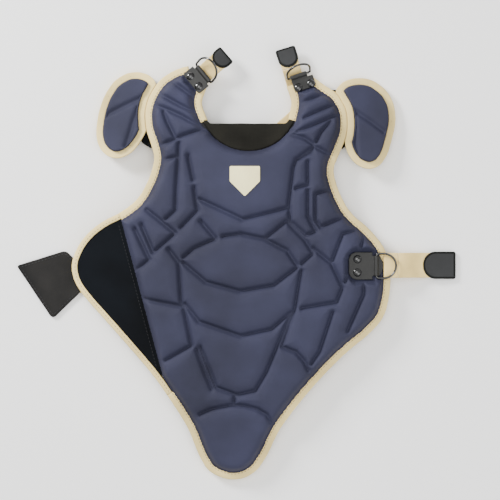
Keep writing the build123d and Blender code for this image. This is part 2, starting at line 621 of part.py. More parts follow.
# ---------------------------------------------------------------- strap ends
ENDS = {  # first stretch from the fold, then the straight stretch that the tip is moulded on
    "left_shoulder": dict(bend=[(17.4, -1.5)], far=(35.5, -6.0), tip=(17.9, 36.6), wide=24.5),
    "right_shoulder": dict(bend=[(10.4, -3.0)], far=(34.1, -8.6), tip=(11.2, 35.1), wide=24.5),
    "side": dict(bend=[(26.8, -4.6), (37.0, -6.8), (47.0, -11.9), (54.0, -14.6)], far=(95.5, -19.7),
                 tip=(57.0, 96.5), wide=33.0),
}
for name, end in ENDS.items():
    x, y, heading = STRAP_AT[name]
    lane = upright(x, y, heading)
    bar_z = STATIONS[name]["bar"].Z
    width = STATIONS[name]["strap"]
    bend = [(s, bar_z + h) for s, h in end["bend"]]
    far = (end["far"][0], bar_z + end["far"][1])
    slope = atan2(far[1] - bend[-1][1], far[0] - bend[-1][0])
    origin = lane.from_local_coords((bend[-1][0], bend[-1][1]))
    along = (lane.from_local_coords(far) - origin).normalized()
    flat = Plane(origin=origin, x_dir=along, z_dir=along.cross(-lane.z_dir))
    tip_start = (end["tip"][0] - bend[-1][0]) / cos(slope)
    tip_length = (end["tip"][1] - end["tip"][0]) / cos(slope)
    strap_reach = tip_start + tip_length - TIP_SOLID
    with BuildPart() as strap:
        if len(bend) > 1:
            add(strap_profile(lane, bend, width))
        with BuildSketch(flat.offset(-WEBBING / 2)):
            Rectangle(strap_reach, width, align=(Align.MIN, Align.CENTER))
        extrude(amount=WEBBING)
    save(strap.part, f"{name}_strap_end")

    tip_origin = Plane(origin=flat.from_local_coords((tip_start, 0, -TIP / 2)), x_dir=flat.x_dir,
                       z_dir=flat.z_dir)
    with BuildPart() as tip:
        with BuildSketch(tip_origin) as outline:
            Rectangle(tip_length, end["wide"], align=(Align.MIN, Align.CENTER))
            fillet(outline.vertices().sort_by(Axis.X)[:2], ROUND_END * end["wide"])
            fillet(outline.vertices().sort_by(Axis.X)[-2:], 2.5)
        extrude(amount=TIP)
        with BuildSketch(flat.offset(-WEBBING / 2 - SLOT_AIR)):
            Rectangle(strap_reach + SLOT_AIR, width + 2 * SLOT_AIR, align=(Align.MIN, Align.CENTER))
        extrude(amount=WEBBING + 2 * SLOT_AIR, mode=Mode.SUBTRACT)
    save(tip.part, f"{name}_strap_tip")

    with BuildPart() as hook:
        with BuildSketch(tip_origin.offset(TIP)) as outline:
            with Locations((2.5, 0)):
                Rectangle(tip_length - 5, end["wide"] - 5, align=(Align.MIN, Align.CENTER))
            fillet(outline.vertices().sort_by(Axis.X)[:2], ROUND_END * (end["wide"] - 5))
        extrude(amount=HOOK)
    save(hook.part, f"{name}_hook_tape")

# ---------------------------------------------------------------- back patch
with BuildSketch() as patch_plan:
    Polygon(*PATCH, align=None)
    for corner, radius in zip(PATCH, (2, 8, 8, 5)):
        fillet(patch_plan.vertices().sort_by_distance((*corner, 0))[0], radius)
with BuildPart() as patch_lining:
    with BuildSketch():
        add(patch_plan.sketch)
    extrude(amount=PATCH_SHEET)
    with BuildSketch(Plane.XY.offset(PATCH_SHEET)):
        add(patch_plan.sketch)
        with BuildSketch(mode=Mode.PRIVATE) as inner:
            add(patch_plan.sketch)
            offset(amount=-PATCH_RIM, kind=Kind.ARC)
        add(inner.sketch, mode=Mode.SUBTRACT)
    extrude(amount=WEBBING)
    add(ribbon(WAIST_RUN[-3:], WAIST_STRAP + 0.8, 0), mode=Mode.SUBTRACT)
    with Locations((-190, -22, PATCH_SHEET)):
        Box(40, WAIST_STRAP + 4, WEBBING, align=(Align.CENTER, Align.CENTER, Align.MIN), mode=Mode.SUBTRACT)
save(patch_lining.part, "back_patch_lining")
with BuildPart() as patch_face:
    with BuildSketch(Plane.XY.offset(PATCH_SHEET + WEBBING)):
        add(patch_plan.sketch)
    extrude(amount=PATCH_SHEET)
save(patch_face.part, "back_patch_face")
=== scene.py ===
import json
import math

import bmesh
import bpy
import numpy as np
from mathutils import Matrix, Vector
from mathutils.bvhtree import BVHTree


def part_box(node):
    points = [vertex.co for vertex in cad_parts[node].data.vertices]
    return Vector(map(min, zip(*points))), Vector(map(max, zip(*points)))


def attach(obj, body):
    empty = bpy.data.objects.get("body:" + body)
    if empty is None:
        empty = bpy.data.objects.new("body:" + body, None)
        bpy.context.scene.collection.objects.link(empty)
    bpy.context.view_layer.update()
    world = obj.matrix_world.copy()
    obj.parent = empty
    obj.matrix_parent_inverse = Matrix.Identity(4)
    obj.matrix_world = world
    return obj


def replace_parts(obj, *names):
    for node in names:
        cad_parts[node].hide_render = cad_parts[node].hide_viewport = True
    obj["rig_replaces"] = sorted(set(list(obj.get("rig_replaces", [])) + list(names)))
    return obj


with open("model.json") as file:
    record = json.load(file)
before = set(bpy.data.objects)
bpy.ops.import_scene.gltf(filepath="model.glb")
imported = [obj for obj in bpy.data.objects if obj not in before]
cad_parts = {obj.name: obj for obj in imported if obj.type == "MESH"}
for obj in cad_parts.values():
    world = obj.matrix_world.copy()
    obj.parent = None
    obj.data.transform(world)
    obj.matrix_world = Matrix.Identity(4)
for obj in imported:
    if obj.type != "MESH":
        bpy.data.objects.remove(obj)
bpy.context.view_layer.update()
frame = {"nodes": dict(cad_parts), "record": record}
NODES = frame["nodes"]
BODIES = frame["record"]["behaviour"]["bodies"]
BODY_OF = {node: body for body, members in BODIES.items() for node in members}

MM = 0.001

# ---------------------------------------------------------------- sizes, in millimetres
DOME = dict(height=28.0, rx=900.0, ry=1500.0, crown_y=12.0)     # the body's curved underside
TAPE_WIDTH, WING_TAPE_WIDTH, CAP_TAPE_WIDTH = 10.0, 7.5, 7.5
SHELL_EDGE, WING_EDGE, CAP_EDGE = (-1.0, 7.0), (-1.0, 7.0), (-1.0, 5.6)     # tape's foot and top
TAPE_REACH = 1.6            # an outline point this near a binding has tape on it
TAPE_INSET = 0.15           # tape drawn in from the outline
ARC_SHARE, ARC_STEPS = 0.45, 6      # a corner's arc, as a share of its shorter side, and its segments
BAND_SPACING = math.pi / 10         # metres between the bands of a wave texture of scale 1
STITCH_PITCH, STITCH_LENGTH, STITCH_RADIUS = 4.2, 2.9, 0.33
STITCH_SIDES, STITCH_RINGS = 6, 5
STITCH_FROM_LAP, STITCH_LIFT = 2.4, 0.12    # tape stitches: in from the tape's lap, and above its top
THREAD_LIFT = 0.1           # seam and hem stitches, above the fabric
STATION_STEP = 2.5
CRUMB_SHARE = 0.1           # a loose shell with fewer points than this share of the largest is deleted
ABOVE_ALL, BELOW_ALL = 200.0, -50.0     # heights that rays start from

BODY = [(-62, 235), (-76, 230), (-90, 221), (-99, 210), (-106, 197), (-110, 181),
        (-109, 160), (-102, 141), (-97.5, 125), (-103, 103), (-117, 76), (-138, 60),
        (-160, 50), (-179, 35), (-192, 17), (-199, -4), (-194, -25), (-180, -44),
        (-150, -77), (-121, -110), (-98, -137), (-73, -174), (-57, -200), (-47, -228),
        (-34, -252), (-10, -261.5), (9, -260), (25, -250), (38, -230),
        (50, -202), (76, -167), (102, -137), (131, -108), (160, -85), (177, -66),
        (183.5, -40), (185, -12), (179, 16), (160, 40), (135, 60), (122, 85),
        (114.5, 111), (124, 132), (133, 154), (133, 182), (121, 203), (108, 211), (95, 220.5),
        (80, 231), (55, 240), (10, 244), (-35, 241)]
NECK = [(-28, 280), (-33, 216), (-42.5, 191), (-33, 167), (60.5, 167), (66.5, 192), (55, 224), (45, 280)]
NECK_SOFTEN = {1: 30, 2: 18, 3: 4, 4: 4, 5: 25, 6: 30}
SEAM_TOP, SEAM_END = (-139.5, 58), (-88, -136)
PATCH = [(-265.3, -4), (-206, 14.5), (-172, -20), (-222, -68.5)]
LEFT_CAP = [(-97, 217), (-105, 225), (-117, 229), (-131, 228), (-147, 219), (-159, 201), (-166, 180),
            (-169, 155), (-165, 138), (-154, 127), (-141, 125), (-127, 131), (-117, 143), (-109, 157),
            (-104, 180), (-100, 200)]
RIGHT_CAP = [(119, 207), (121, 196), (128, 176), (130, 158), (131, 139), (136, 127), (145, 117),
             (158, 112), (171, 115.5), (181, 129), (186, 146), (191.5, 168), (190, 189), (181, 207),
             (164, 219.5), (146, 222.3), (129, 218)]
CAP_GROOVES = {
    "left_cap": [[(-157, 177), (-140, 186), (-125, 193), (-112, 199)],
                 [(-118, 186), (-124, 170), (-128, 155), (-133, 140)]],
    "right_cap": [[(131, 190), (145, 180), (158, 172), (170, 163), (178, 157)],
                  [(141, 175), (142, 152), (143, 130)]],
}
CAP_GROOVE_DEPTH, CAP_GROOVE_WIDTH = 3.4, 3.2
CAP_TAPE_SKIN = 0.45        # the cap tape is thickened by this, to cover the CAD tape
THROAT_CENTRE, THROAT_RADIUS, THROAT_TOP = (14.5, 192.4), 59.5, 171.0
SHOULDER_ENDS = [((-54.8, 213.7), 39.0, 10.0),
                 ((83.3, 208.0), 110.0, 9.0)]       # tab's base, its heading, how far the face runs on
SHOULDER_END_HALF = 32      # how far to each side a shoulder's end is cut square
FACE_STEP = 1.35            # spacing of the moulded face's mesh
FACE_MARGIN, HARDWARE_MARGIN = 4, 1     # beyond the boxes of the face, and of a tab or ring
SNAP_OUT, SNAP_IN = 0.6, 0.4            # mesh points this near the face's edge move onto it, in mesh steps
LEAST_SLOPE = 0.3
FACE_BACK, FACE_SKIN, FACE_TOP = 6.02, 7.0, 18.0        # offsets from the underside
THINNEST_FACE = 0.3
RISE_REACH, RISE_POWER = 4.4, 1.5       # how the face climbs from its visible edge
SEAM_GAP = 0.3              # from the seam line to the face
FACE_UNDER_TAPE = 8.8       # the face's edge, hidden under the tape
GROOVE_DEPTH, GROOVE_WIDTH = 4.6, 2.2
PILLOW_DEPTH, PILLOW_WIDTH = 2.6, 7.5
HARDWARE_AIR, WALL_SLOPE = 0.35, 1.5        # gap under tabs and rings, and rise of the face beside them
GROOVES = [     # channels of the moulded face in plan, read one by one
    [(-78, 217), (-55, 200), (-52, 197)], [(-90, 200), (-65, 186), (-50, 179)],
    [(-96, 187), (-80, 181), (-65, 174), (-42, 161)], [(-86, 180), (-82, 168), (-72, 148)],
    [(-88, 140), (-62, 151), (-38, 159)], [(-68, 142), (-69, 120), (-71, 90), (-72, 62), (-83, 52)],
    [(-85, 122), (-70, 126)], [(-57, 127), (-51, 98)], [(-50, 89), (-46, 62), (-65, 42)],
    [(-106, 63), (-89, 49), (-72, 35), (-98, 12), (-112, 45)], [(-120, 40), (-103, 4), (-120, -10)],
    [(-44, 75), (-16, 62), (7, 51), (43, 60), (61, 65)],
    [(61, 65), (64, 89), (67, 112), (70, 121), (88, 131), (91, 140), (81, 147), (68, 152)],
    [(-42, 49), (-25, 29)], [(-62, 6.6), (-50, 17), (-25, 28)], [(-16, 31), (5, 34), (33, 28)],
    [(33, 28), (59, 49)], [(-63, 0), (-36, -23), (4, -34), (44, -27), (71, -6)],
    [(33, 28), (59.5, 14), (71, -3)], [(-61, -49), (-44, -70), (5, -87), (41, -79), (64, -59)],
    [(-80, 16), (-68, 0), (-65, -47), (-62, -53), (-53, -98), (-84, -116)], [(-111, -43), (-63, -52)],
    [(-43, -100), (-24, -148), (0, -157), (22, -152), (35, -130), (45, -106), (64, -60)],
    [(-47, -103), (-38, -128), (-29, -150)], [(-2, -158), (-3, -167)],
    [(-43, -180), (-30, -174), (-5, -169), (10, -170), (25, -174), (36, -181), (40, -190)],
    [(59, 49), (81, 26), (90, 11), (77, -1)],
    [(62, 66), (63, 49), (82, 32), (93, 37), (84, 55), (84, 86)], [(84, 120), (84, 94)],
    [(69.5, 88), (84, 92)], [(93, 81), (109, 86)], [(93, 80), (93, 50), (99, 42), (122, 52)],
    [(90, 17), (112, -1), (125, -29), (118, -47), (77, -54)], [(76, -10), (69, -53), (53, -99)],
    [(113, -59), (98, -105), (88, -120)], [(55, -100), (70, -106), (80, -117), (85, -128)],
    [(112, 0), (125, 34), (139, 38)], [(150, 31), (145, 12), (136, -3), (128, -23)],
    [(151, -24), (150, -38), (131, -81)], [(77, 190), (106, 202)], [(80, 172), (92, 178), (119, 190)],
    [(72, 156), (90, 163), (120, 176)], [(94, 143), (100, 155), (111, 168)],
    [(65, 152), (80, 148), (90, 141), (92, 138), (70, 122)], [(92, 138), (103, 132), (107, 130)],
]
PATCH_HEM = 3.2             # from the patch's edge to its stitches
WEB_REACH, WEB_LEVELS = 2.2, (2.5, 6.0)     # seam strip's half width, and its foot and top
SEAM_THREAD_ASIDE, SEAM_THREAD_SPAN = 5.0, (0.06, 0.94)     # from the seam, and shares of its length
# plan of the side ring's black loop: the loop over the ring's bar, and beyond it toward the arc a black patch
# painted as shadow
SIDE_LOOP_AND_SHADE = [(164, 8), (171, 9), (175.5, 2), (176.5, -5), (174, -13), (171, -17), (164, -16)]
LOOP_RINGS = [(0.6, 19.3), (0.0, 19.8), (0.0, 20.3), (0.5, 20.75), (1.4, 20.9)]     # drawn in, height
LENS, SENSOR = 200.0, 36.0
VIEW_CENTRE, VIEW_WIDTH, VIEW_LEVEL = (16.2, 15.0), 600.0, 20.0
FLOOR, FLOOR_LEVEL = 3.0, -0.0002       # metres from the middle to an edge, and height in metres


# ---------------------------------------------------------------- geometry helpers
def underside(x, y):
    """Height of the dome's underside."""
    return DOME["height"] - x * x / (2 * DOME["rx"]) - (y - DOME["crown_y"]) ** 2 / (2 * DOME["ry"])


def dome_normal(x, y):
    """Direction straight out of the dome."""
    return Vector((x / DOME["rx"], (y - DOME["crown_y"]) / DOME["ry"], 1)).normalized()


def rounded(points, closed=True, radii=None):
    """Points along an outline whose corners are tangent arcs, as the solids' outlines are."""
    count, out = len(points), []
    for index in range(count):
        here = Vector(points[index])
        before, after = Vector(points[index - 1]), Vector(points[(index + 1) % count])
        into, away = here - before, after - here
        ends_here = not closed and index in (0, count - 1)
        if ends_here or (radii is not None and index not in radii):
            out.append(here)
            continue
        turn = into.angle(away)
        if radii is None:
            reach = ARC_SHARE * min(into.length, away.length)
        else:
            reach = radii[index] * math.tan(turn / 2)
        start, stop = here - into.normalized() * reach, here + away.normalized() * reach
        pull = math.cos(turn / 2)
        for step in range(ARC_STEPS + 1):
            t = step / ARC_STEPS
            parts = ((1 - t) ** 2, 2 * pull * t * (1 - t), t * t)
            out.append((start * parts[0] + here * parts[1] + stop * parts[2]) / sum(parts))
    return out


def resample(path, spacing, closed=False):
    """Points at an even spacing along a path."""
    path = [Vector(p) for p in path]
    if closed:
        path.append(path[0])
    reach = np.concatenate([[0], np.cumsum([(b - a).length for a, b in zip(path, path[1:])])])
    count = max(2, int(round(reach[-1] / spacing)))
    where = np.linspace(0, reach[-1], count + 1)
    data = np.array([list(p) for p in path])
    return np.stack([np.interp(where, reach, data[:, axis]) for axis in range(data.shape[1])], 1)


def distance_to(points, path):
    """Distance in plan of many points from a polyline."""
    best = np.full(len(points), np.inf)
    for a, b in zip(path[:-1], path[1:]):
        a, b = np.array(a, float)[:2], np.array(b, float)[:2]
        run = b - a
        t = np.clip(((points[:, :2] - a) @ run) / max(run @ run, 1e-9), 0, 1)
        best = np.minimum(best, np.linalg.norm(points[:, :2] - (a + t[:, None] * run), axis=1))
    return best


def depth_inside(points, outline):
    """How far inside a closed outline each point lies, negative outside."""
    ring = [tuple(p) for p in outline] + [tuple(outline[0])]
    inside = np.zeros(len(points), bool)
    for (ax, ay), (bx, by) in zip(ring, ring[1:]):
        spans = (points[:, 1] < ay) != (points[:, 1] < by)
        if ay != by:
            inside ^= spans & (points[:, 0] < ax + (points[:, 1] - ay) * (bx - ax) / (by - ay))
    return np.where(inside, 1, -1) * distance_to(points, ring)


def tree_of(mesh):
    """Search tree over a mesh's faces, in millimetres."""
    return BVHTree.FromPolygons([v.co / MM for v in mesh.vertices], [list(p.vertices) for p in mesh.polygons])


def make(name, verts, faces, body):
    """A mesh piece from points in millimetres, riding on a body."""
    mesh = bpy.data.meshes.new(name)
    mesh.from_pydata([tuple(float(c) * MM for c in v) for v in verts], [], faces)
    mesh.validate()
    mesh.polygons.foreach_set("use_smooth", [True] * len(mesh.polygons))
    piece = bpy.data.objects.new(name, mesh)
    bpy.context.scene.collection.objects.link(piece)
    bm = bmesh.new()
    bm.from_mesh(mesh)
    bmesh.ops.recalc_face_normals(bm, faces=bm.faces)
    bm.to_mesh(mesh)
    bm.free()
    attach(piece, body)
    return piece


def drop_crumbs(mesh):
    """Deletes small loose shells that remeshing leaves inside a piece."""
    bm = bmesh.new()
    bm.from_mesh(mesh)
    bm.verts.ensure_lookup_table()
    seen, shells = set(), []
    for start in bm.verts:
        if start.index in seen:
            continue
        seen.add(start.index)
        shell, front = [start], [start]
        while front:
            here = front.pop()
            for edge in here.link_edges:
                other = edge.other_vert(here)
                if other.index not in seen:
                    seen.add(other.index)
                    shell.append(other)
                    front.append(other)
        shells.append(shell)
    largest = max(len(shell) for shell in shells)
    loose = [v for shell in shells if len(shell) < CRUMB_SHARE * largest for v in shell]
    bmesh.ops.delete(bm, geom=loose, context="VERTS")
    bm.to_mesh(mesh)
    bm.free()


def grown(name, nodes, voxel, rounds, material, shape=None):
    """A soft piece grown from CAD solids: remeshed finely, eased round, shaped, and standing for them."""
    verts, faces = [], []
    for node in nodes:
        mesh = NODES[node].data
        base = len(verts)
        verts += [v.co.copy() for v in mesh.vertices]
        faces += [[base + i for i in p.vertices] for p in mesh.polygons]
    mesh = bpy.data.meshes.new(name)
    mesh.from_pydata(verts, [], faces)
    piece = bpy.data.objects.new(name, mesh)
    bpy.context.scene.collection.objects.link(piece)
    remesh = piece.modifiers.new("remesh", "REMESH")
    remesh.mode = "VOXEL"
    remesh.voxel_size = voxel * MM * 1
    if rounds:
        ease = piece.modifiers.new("ease", "SMOOTH")
        ease.factor, ease.iterations = 0.5, rounds
    bpy.context.view_layer.update()
    done = bpy.data.meshes.new_from_object(piece.evaluated_get(bpy.context.evaluated_depsgraph_get()))
    piece.modifiers.clear()
    piece.data = done
    drop_crumbs(done)
    if shape is not None:
        co = np.zeros(len(done.vertices) * 3)
        done.vertices.foreach_get("co", co)
        normals = np.zeros(len(done.vertices) * 3)
        done.vertices.foreach_get("normal", normals)
        co = shape(co.reshape(-1, 3) / MM, normals.reshape(-1, 3)) * MM
        done.vertices.foreach_set("co", co.ravel())
    done.polygons.foreach_set("use_smooth", [True] * len(done.polygons))
    done.materials.clear()
    done.materials.append(material)
    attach(piece, BODY_OF[nodes[0]])
    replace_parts(piece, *nodes)
    return piece


def sweep(name, stations, section, body, material, replaces=()):
    """A closed section carried along stations of (point, inward, up)."""
    verts, faces, size = [], [], len(section)
    for point, inward, up in stations:
        verts += [point + inward * u + up * w for u, w in section]
    for i in range(len(stations) - 1):
        for k in range(size):
            n = (k + 1) % size
            faces.append([i * size + k, i * size + n, (i + 1) * size + n, (i + 1) * size + k])
    faces += [list(range(size)), [(len(stations) - 1) * size + k for k in reversed(range(size))]]
    piece = make(name, verts, faces, body)
    piece.data.materials.append(material)
    if replaces:
        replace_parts(piece, *replaces)
    return piece


def tape_section(width, low, high):
    """Folded tape in section: u runs in from the edge, w runs up from the underside."""
    mid, half = (low + high) / 2, (high - low) / 2
    outer = [(half * 0.55 * (1 - math.cos(a)), mid + half * math.sin(a))
             for a in np.linspace(-math.pi / 2, math.pi / 2, 9)]
    top = [(width * 0.45, high + 0.15), (width * 0.8, high + 0.1), (width, high - 0.35), (width, high - 0.9)]
    inner = [(1.6, high - 1.0), (1.6, low + 1.0)]
    foot = [(width, low + 0.9), (width, low + 0.35), (width * 0.8, low - 0.1), (width * 0.45, low - 0.15)]
    return outer + top + inner + foot


def stitches(name, spots, body, material):
    """A row of thread stitches: each a short bead lying along the run."""
    verts, faces = [], []
    for centre, along, up in spots:
        side = along.cross(up).normalized()
        base = len(verts)
        for end in np.linspace(-1, 1, STITCH_RINGS):
            swell = math.sqrt(max(0.0, 1 - end * end)) * 0.8 + 0.2
            for a in range(STITCH_SIDES):
                turn = a * 2 * math.pi / STITCH_SIDES
                verts.append(centre + along * (end * STITCH_LENGTH / 2)
                             + (side * math.cos(turn) + up * math.sin(turn)) * STITCH_RADIUS * swell)
        for r in range(STITCH_RINGS - 1):
            for a in range(STITCH_SIDES):
                n = (a + 1) % STITCH_SIDES
                low, high = base + r * STITCH_SIDES, base + (r + 1) * STITCH_SIDES
                faces.append([low + a, low + n, high + n, high + a])
        last = base + (STITCH_RINGS - 1) * STITCH_SIDES
        faces += [[base + a for a in reversed(range(STITCH_SIDES))], [last + a for a in range(STITCH_SIDES)]]
    piece = make(name, verts, faces, body)
    piece.data.materials.append(material)
    return piece


def near_node(node, gap):
    """Test for a point lying close to a CAD node."""
    tree = tree_of(NODES[node].data)
    return lambda p: tree.find_nearest(p, gap)[0] is not None


def edge_runs(outline, node, level, lift, radii, outside):
    """The longest stretch of an outline that a tape node follows, as stations (point, inward, up)."""
    near = near_node(node, TAPE_REACH)
    flat = resample(rounded(outline, radii=radii), STATION_STEP, closed=True)[:-1]
    area = sum(a[0] * b[1] - b[0] * a[1] for a, b in zip(flat, np.roll(flat, -1, 0)))
    area = -area if outside else area
    runs, run = [], []
    for i in range(len(flat)):
        x, y = flat[i]
        ahead, behind = flat[(i + 1) % len(flat)], flat[i - 1]
        along = Vector((ahead[0] - behind[0], ahead[1] - behind[1], 0)).normalized()
        inward = Vector((-along.y, along.x, 0)) * (1 if area > 0 else -1)
        up, foot = lift(x, y)
        inward = (inward - up * inward.dot(up)).normalized()
        probe = foot + up * level
        if near(probe):
            run.append((foot, inward, up))
        elif run:
            runs.append(run)
            run = []
    if run:
        if runs and near(flat_point(flat[0], lift, level)):
            runs[0] = run + runs[0]
        else:
            runs.append(run)
    return max(runs, key=len)


def flat_point(xy, lift, level):
    """A place in plan, lifted to a level above the underside."""
    up, foot = lift(*xy)
    return foot + up * level


def dome_lift(x, y):
    """Lift onto the dome: direction upwards and the point on the underside."""
    return dome_normal(x, y), Vector((x, y, underside(x, y)))


def plane_lift(node):
    """Lift onto the plane of a flat CAD node's underside."""
    co = np.array([v.co / MM for v in NODES[node].data.vertices])
    centre = co.mean(0)
    normal = np.linalg.svd(co - centre)[2][2]
    normal = Vector(normal if normal[2] > 0 else -normal)
    foot = Vector(centre) + normal * min((Vector(c - centre)).dot(normal) for c in co)

    def lift(x, y):
        z = foot.z - ((x - foot.x) * normal.x + (y - foot.y) * normal.y) / normal.z
        return normal, Vector((x, y, z))
    return lift


# ---------------------------------------------------------------- materials
def linear(colour):
    """Colour of 0 to 255 steps as a renderer's colour."""
    return (*[(c / 255) ** 2.2 for c in colour], 1)


def material(name, colour, rough, build=None, **sockets):
    """A principled material; build adds its procedural nodes."""
    mat = bpy.data.materials.new(name)
    mat.use_nodes = True
    tree = mat.node_tree
    shader = tree.nodes["Principled BSDF"]
    shader.inputs["Base Color"].default_value = linear(colour)
    shader.inputs["Roughness"].default_value = rough
    for key, value in sockets.items():
        shader.inputs[key.replace("_", " ")].default_value = value
    if build:
        build(tree, shader, colour)
    return mat


def coords(tree):
    """Object coordinates, in metres."""
    return tree.nodes.new("ShaderNodeTexCoord").outputs["Object"]


def noise(tree, scale, detail):
    node = tree.nodes.new("ShaderNodeTexNoise")
    node.inputs["Scale"].default_value = scale
    node.inputs["Detail"].default_value = detail
    tree.links.new(coords(tree), node.inputs["Vector"])
    return node.outputs["Fac"]


def wave(tree, scale, axis):
    node = tree.nodes.new("ShaderNodeTexWave")
    node.bands_direction = axis
    node.inputs["Scale"].default_value = scale
    node.inputs["Distortion"].default_value = 0.4
    tree.links.new(coords(tree), node.inputs["Vector"])
    return node.outputs["Fac"]


def product(tree, a, b):
    node = tree.nodes.new("ShaderNodeMath")
    node.operation = "MULTIPLY"
    tree.links.new(a, node.inputs[0])
    tree.links.new(b, node.inputs[1])
    return node.outputs[0]


def tint(tree, shader, factor, colours):
    """Colour that drifts between two tones."""
    ramp = tree.nodes.new("ShaderNodeValToRGB")
    for stop, (where, colour) in zip(ramp.color_ramp.elements, colours):
        stop.position = where
        stop.color = linear(colour)
    tree.links.new(factor, ramp.inputs["Fac"])
    tree.links.new(ramp.outputs["Color"], shader.inputs["Base Color"])


def bump(tree, shader, height, strength, distance):
    node = tree.nodes.new("ShaderNodeBump")
    node.inputs["Strength"].default_value = strength
    node.inputs["Distance"].default_value = distance
    tree.links.new(height, node.inputs["Height"])
    tree.links.new(node.outputs["Normal"], shader.inputs["Normal"])


def woven(period, dark, light, depth=0.00025):
    """Plain weave: two crossed sets of ribs, with slow drifts of tone."""
    def build(tree, shader, colour):
        warp, weft = wave(tree, BAND_SPACING / period, "X"), wave(tree, BAND_SPACING / period, "Y")
        bump(tree, shader, product(tree, warp, weft), 0.55, depth)
        tint(tree, shader, noise(tree, 14.0, 6.0),
             [(0.3, [c * dark for c in colour]), (0.75, [min(255, c * light) for c in colour])])
    return build


def grained(scale, dark, light, depth):
    """Leather or moulded grain."""
    def build(tree, shader, colour):
        cells = tree.nodes.new("ShaderNodeTexVoronoi")
        cells.inputs["Scale"].default_value = scale
        tree.links.new(coords(tree), cells.inputs["Vector"])
        bump(tree, shader, cells.outputs["Distance"], 0.5, depth)
        tint(tree, shader, noise(tree, 30.0, 8.0),
             [(0.32, [c * dark for c in colour]), (0.78, [min(255, c * light) for c in colour])])
    return build


def brushed(tree, shader, colour):
    """Fine fuzz, as on soft webbing."""
    bump(tree, shader, noise(tree, 1500.0, 3.0), 0.6, 0.0003)
    tint(tree, shader, noise(tree, 45.0, 8.0), [(0.3, [c * 0.9 for c in colour]), (0.75, colour)])


NAVY = material("navy_fabric", (41, 42, 59), 0.75, woven(0.0011, 0.84, 1.16),
                Specular_IOR_Level=0.3)
TAN = material("tan_tape", (236, 211, 143), 0.9, woven(0.0009, 0.84, 1.06), Specular_IOR_Level=0.2)
CREAM = material("cream_webbing", (238, 209, 138), 0.95, brushed, Specular_IOR_Level=0.2)
WING = material("black_stretch", (13, 15, 18), 0.9, woven(0.0008, 0.7, 1.5), Specular_IOR_Level=0.12)
THROAT = material("black_mesh", (33, 32, 28), 0.9, woven(0.0016, 0.7, 1.3, 0.0004),
                  Specular_IOR_Level=0.15)
LINING = material("lining_mesh", (30, 30, 33), 0.9, woven(0.0022, 0.7, 1.25, 0.0004))
LEATHER = material("black_leather", (25, 25, 23), 0.6, grained(900.0, 0.75, 1.25, 0.0002))
PATCH_HIDE = material("patch_leather", (21, 20, 19), 0.7, grained(700.0, 0.6, 1.6, 0.0002),
                      Specular_IOR_Level=0.25)
GLOSS = material("black_paint", (12, 12, 12), 0.16, grained(120.0, 0.9, 1.4, 0.00002), Coat_Weight=0.6)
STEEL = material("plate_steel", (150, 150, 150), 0.35, grained(300.0, 0.9, 1.1, 0.00005), Metallic=1.0)
MOULDED = material("moulded_black", (17, 19, 17), 0.7, woven(0.0016, 0.8, 1.3, 0.0003),
                   Specular_IOR_Level=0.2)
HOOKS = material("hook_pile", (26, 27, 28), 0.75, woven(0.0012, 0.7, 1.5, 0.0004))
EMBLEM = material("cream_transfer", (250, 236, 176), 0.7, grained(260.0, 0.92, 1.04, 0.00006))
THREAD = material("tan_thread", (128, 106, 70), 0.85, woven(0.0004, 0.9, 1.1))
DARK_THREAD = material("black_thread", (26, 27, 29), 0.7, woven(0.0004, 0.8, 1.3))

KEPT = {"rivets": GLOSS, "ring": GLOSS, "backing_plate": STEEL,
        "chest_emblem": EMBLEM}         # CAD nodes that show as they are
EASED = {"_tab": (0.55, 2, "leather", LEATHER), "_strap_tip": (0.5, 1, "black_plastic", MOULDED),
         "_hook_tape": (0.45, 1, "hook_tape", HOOKS), "_strap": (0.7, 1, "webbing", CREAM),
         "_strap_end": (0.6, 1, "webbing", CREAM)}      # voxel, easing rounds, slot, material


# ---------------------------------------------------------------- camera, floor and light
def look_down():
    camera = bpy.data.cameras.new("camera")
    camera.lens, camera.sensor_width = LENS, SENSOR
    eye = bpy.data.objects.new("camera", camera)
    reach = VIEW_WIDTH * LENS / SENSOR
    eye.location = (VIEW_CENTRE[0] * MM, VIEW_CENTRE[1] * MM, (reach + VIEW_LEVEL) * MM)
    camera.clip_end = 20.0
    bpy.context.scene.collection.objects.link(eye)
    bpy.context.scene.camera = eye


def floor():
    mesh = bpy.data.meshes.new("floor")
    corners = [(x * FLOOR, y * FLOOR, FLOOR_LEVEL) for x, y in ((-1, -1), (1, -1), (1, 1), (-1, 1))]
    mesh.from_pydata(corners, [], [(0, 1, 2, 3)])
    plane = bpy.data.objects.new("floor", mesh)
    bpy.context.scene.collection.objects.link(plane)
    mesh.materials.append(material("floor_paint", (250, 250, 249), 0.8))


def lamp(name, place, size, power):
    data = bpy.data.lights.new(name, "AREA")
    data.size, data.energy = size, power
    light = bpy.data.objects.new(name, data)
    light.location = place
    light.rotation_mode = "QUATERNION"
    light.rotation_quaternion = (-Vector(place)).to_track_quat("-Z", "Y")
    bpy.context.scene.collection.objects.link(light)


look_down()
floor()
lamp("key", (-1.5, 1.3, 1.1), 0.6, 84)
lamp("fill", (1.4, -0.9, 1.6), 1.6, 24)
lamp("top", (0.0, 0.2, 2.4), 1.8, 36)
world = bpy.data.worlds.new("studio")
world.use_nodes = True
world.node_tree.nodes["Background"].inputs["Color"].default_value = (1, 1, 1, 1)
world.node_tree.nodes["Background"].inputs["Strength"].default_value = 0.85
bpy.context.scene.world = world


# ---------------------------------------------------------------- padding
def wrinkled(amount, scale):
    """Small slow unevenness, so that nothing sewn is perfectly flat."""
    def shape(co, normals):
        x, y = co[:, 0] / scale, co[:, 1] / scale
        wobble = np.sin(1.7 * x + 0.6 * y) * np.cos(0.9 * y - 0.4 * x) + 0.5 * np.sin(3.1 * y + 1.3 * x)
        return co + normals * (amount * wobble / 1.5)[:, None]
    return shape


